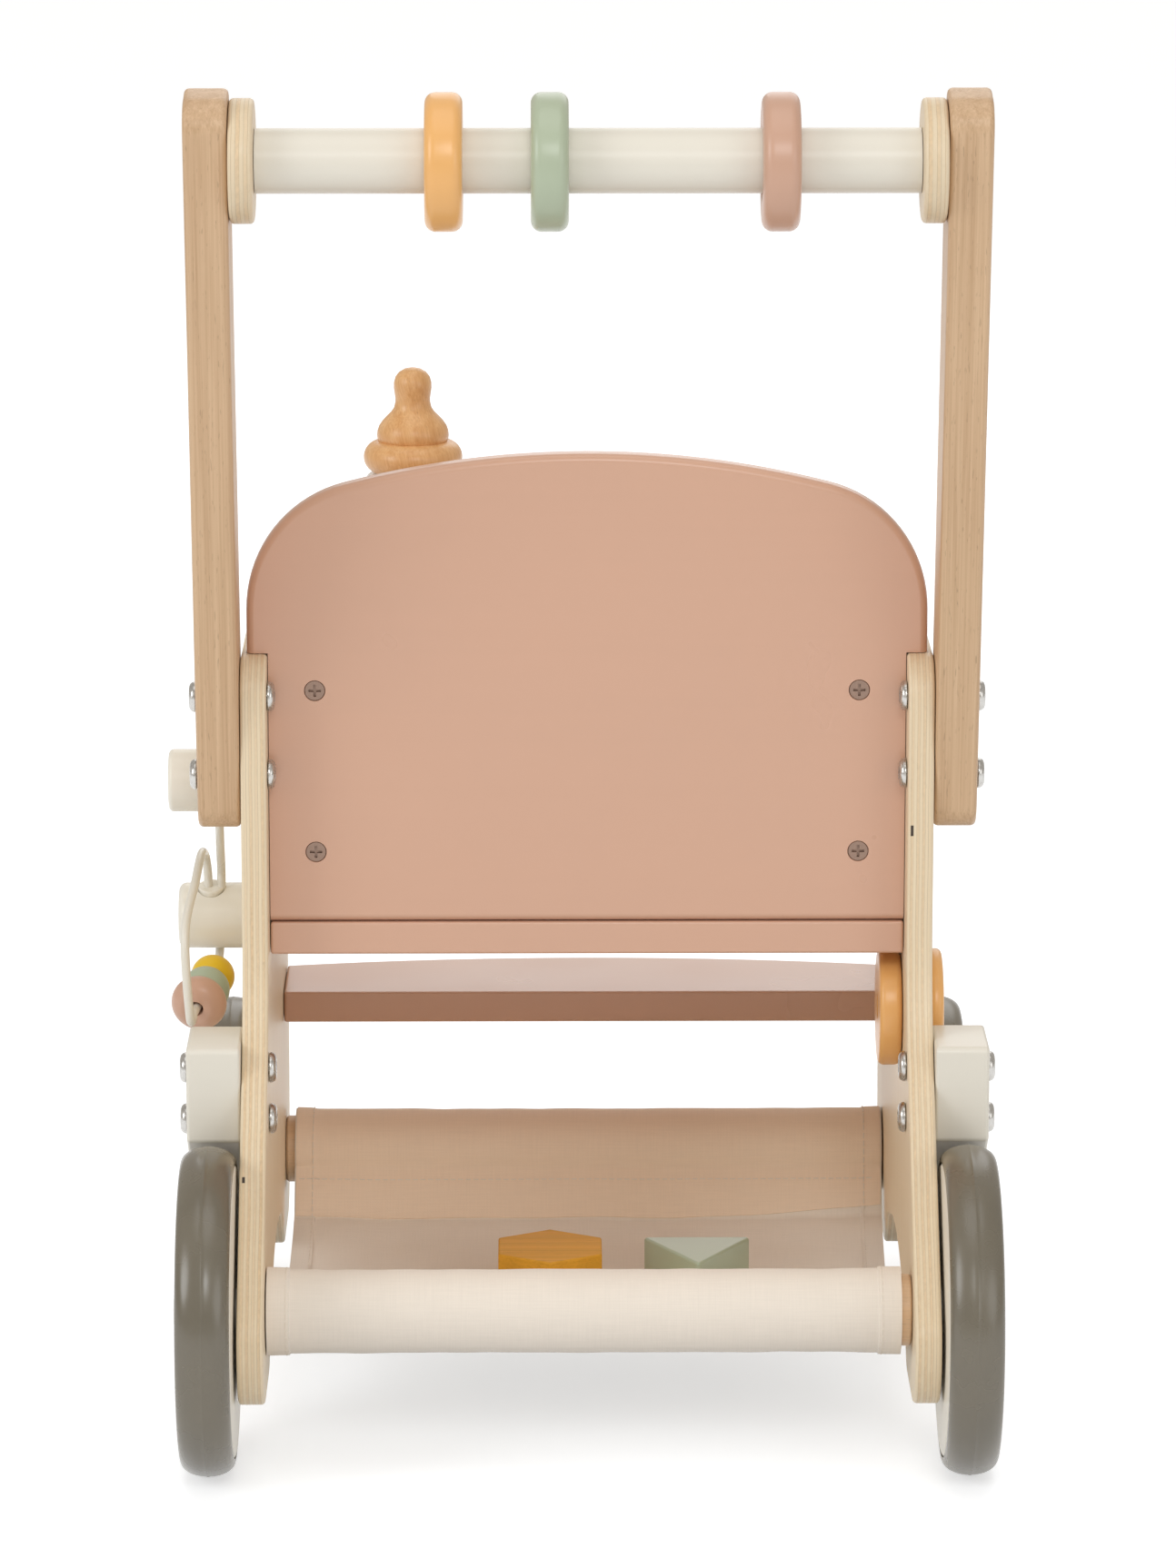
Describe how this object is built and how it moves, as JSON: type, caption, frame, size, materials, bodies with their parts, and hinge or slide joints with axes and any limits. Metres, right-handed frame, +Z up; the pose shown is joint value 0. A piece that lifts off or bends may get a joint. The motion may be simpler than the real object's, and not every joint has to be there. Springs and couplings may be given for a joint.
{
  "type": "toddler push toy",
  "caption": "Wooden walker and doll's pushchair with a push bar, sliding rings, seat, cloth basket, bead track, spinner and free-rolling rubber-tyred wheels.",
  "frame": {"origin": "on the floor under the middle of the overall box", "axes": "+X to the pushing child's right, +Y forward, away from the child, +Z up"},
  "size_m": [0.3516, 0.388, 0.5766],
  "materials": {
    "clear_plywood": "clear satin lacquer on plywood, plies showing on the edges",
    "beech": "clear satin lacquer on beech",
    "cream_lacquer": "cream satin lacquer on wood",
    "cream_wire": "cream coating on steel wire",
    "salmon_lacquer": "salmon satin lacquer on wood",
    "grey_rubber": "matt warm grey rubber",
    "zinc_steel": "plain zinc-plated steel",
    "orange_lacquer": "orange satin lacquer on wood",
    "mint_lacquer": "mint satin lacquer on wood",
    "pink_lacquer": "dusty pink satin lacquer on wood",
    "yellow_lacquer": "yellow satin lacquer on wood",
    "ochre_stain": "ochre stain on wood",
    "white_lacquer": "white satin lacquer on wood",
    "cotton": "plain woven cream cotton"
  },
  "bodies": {
    "frame": {"arm_bolt_left_high": "zinc_steel", "arm_bolt_left_low": "zinc_steel", "arm_bolt_right_high": "zinc_steel", "arm_bolt_right_low": "zinc_steel", "basket_dowel_front": "beech", "basket_dowel_rear": "beech", "basket_sling": "cotton", "bead_post_lower": "cream_lacquer", "bead_post_upper": "cream_lacquer", "bead_wire_loop": "cream_wire", "bead_wire_straight": "cream_wire", "footrest": "salmon_lacquer", "front_axle": "zinc_steel", "front_axle_cap_nut": "zinc_steel", "guard_bolt_left_high": "zinc_steel", "guard_bolt_left_low": "zinc_steel", "guard_bolt_right_high": "zinc_steel", "guard_bolt_right_low": "zinc_steel", "handle_arm_left": "beech", "handle_arm_right": "beech", "handle_bar": "cream_lacquer", "handle_disc_left": "clear_plywood", "handle_disc_right": "clear_plywood", "rear_axle": "zinc_steel", "rear_axle_cap_nut": "zinc_steel", "seat_back": "salmon_lacquer", "seat_back_screw_1": "zinc_steel", "seat_back_screw_2": "zinc_steel", "seat_back_screw_3": "zinc_steel", "seat_back_screw_4": "zinc_steel", "seat_board": "salmon_lacquer", "seat_cleat_left": "beech", "seat_cleat_right": "beech", "side_panel_left": "clear_plywood", "side_panel_right": "clear_plywood", "tray": "cream_lacquer", "wheel_guard_left": "cream_lacquer", "wheel_guard_right": "cream_lacquer"},
    "wheel_rear_left": {"tyre_rear_left": "grey_rubber", "hub_rear_left": "cream_lacquer"},
    "wheel_rear_right": {"tyre_rear_right": "grey_rubber", "hub_rear_right": "cream_lacquer"},
    "wheel_front_left": {"tyre_front_left": "grey_rubber", "hub_front_left": "cream_lacquer"},
    "wheel_front_right": {"tyre_front_right": "grey_rubber", "hub_front_right": "cream_lacquer"},
    "orange_ring": {"ring_orange": "orange_lacquer"},
    "mint_ring": {"ring_mint": "mint_lacquer"},
    "pink_ring": {"ring_pink": "pink_lacquer"},
    "pink_bead": {"bead_pink": "pink_lacquer"},
    "mint_bead": {"bead_mint": "mint_lacquer"},
    "yellow_bead": {"bead_yellow": "yellow_lacquer"},
    "spinner": {"spinner_disc_inner": "orange_lacquer", "spinner_disc_outer": "orange_lacquer", "spinner_pin": "zinc_steel"},
    "bottle": {"bottle_body": "white_lacquer", "bottle_teat": "beech"},
    "hexagon": {"hexagon_block": "ochre_stain"},
    "triangle": {"triangle_block": "mint_lacquer"}
  },
  "joints": [
    {"name": "rear_left_wheel_roll", "type": "hinge", "parent": "frame", "child": "wheel_rear_left", "pos_m": [0.00255, -0.125, 0.069], "axis": [1, 0, 0], "continuous": true},
    {"name": "rear_right_wheel_roll", "type": "hinge", "parent": "frame", "child": "wheel_rear_right", "pos_m": [0.00255, -0.125, 0.069], "axis": [1, 0, 0], "continuous": true},
    {"name": "front_left_wheel_roll", "type": "hinge", "parent": "frame", "child": "wheel_front_left", "pos_m": [0.00255, 0.125, 0.069], "axis": [1, 0, 0], "continuous": true},
    {"name": "front_right_wheel_roll", "type": "hinge", "parent": "frame", "child": "wheel_front_right", "pos_m": [0.00255, 0.125, 0.069], "axis": [1, 0, 0], "continuous": true},
    {"name": "orange_ring_slide", "type": "slide", "parent": "frame", "child": "orange_ring", "axis": [1, 0, 0], "range_m": [-0.0685, 0.0135]},
    {"name": "mint_ring_slide", "type": "slide", "parent": "frame", "child": "mint_ring", "axis": [1, 0, 0], "range_m": [-0.0135, 0.039]},
    {"name": "pink_ring_slide", "type": "slide", "parent": "frame", "child": "pink_ring", "axis": [1, 0, 0], "range_m": [-0.039, 0.049]},
    {"name": "pink_bead_slide", "type": "slide", "parent": "frame", "child": "pink_bead", "axis": [0.1685, 0.9707, 0.1712], "range_m": [0, 0.003]},
    {"name": "mint_bead_slide", "type": "slide", "parent": "frame", "child": "mint_bead", "axis": [0.1685, 0.9707, 0.1712], "range_m": [0, 0.003]},
    {"name": "yellow_bead_slide", "type": "slide", "parent": "frame", "child": "yellow_bead", "axis": [0.1685, 0.9707, 0.1712], "range_m": [0, 0.003]},
    {"name": "spinner_turn", "type": "hinge", "parent": "frame", "child": "spinner", "pos_m": [0.00255, -0.019, 0.1723], "axis": [1, 0, 0], "continuous": true},
    {"name": "bottle_lift", "type": "slide", "parent": "frame", "child": "bottle", "axis": [0, 0, 1], "range_m": [0, 0.1]},
    {"name": "hexagon_lift", "type": "slide", "parent": "frame", "child": "hexagon", "axis": [0, 0, 1], "range_m": [0, 0.06]},
    {"name": "triangle_lift", "type": "slide", "parent": "frame", "child": "triangle", "axis": [0, 0, 1], "range_m": [0, 0.06]}
  ],
  "couplings": [
    {"joint": "mint_bead_slide", "follows": "pink_bead_slide", "ratio": 1},
    {"joint": "yellow_bead_slide", "follows": "pink_bead_slide", "ratio": 1}
  ]
}
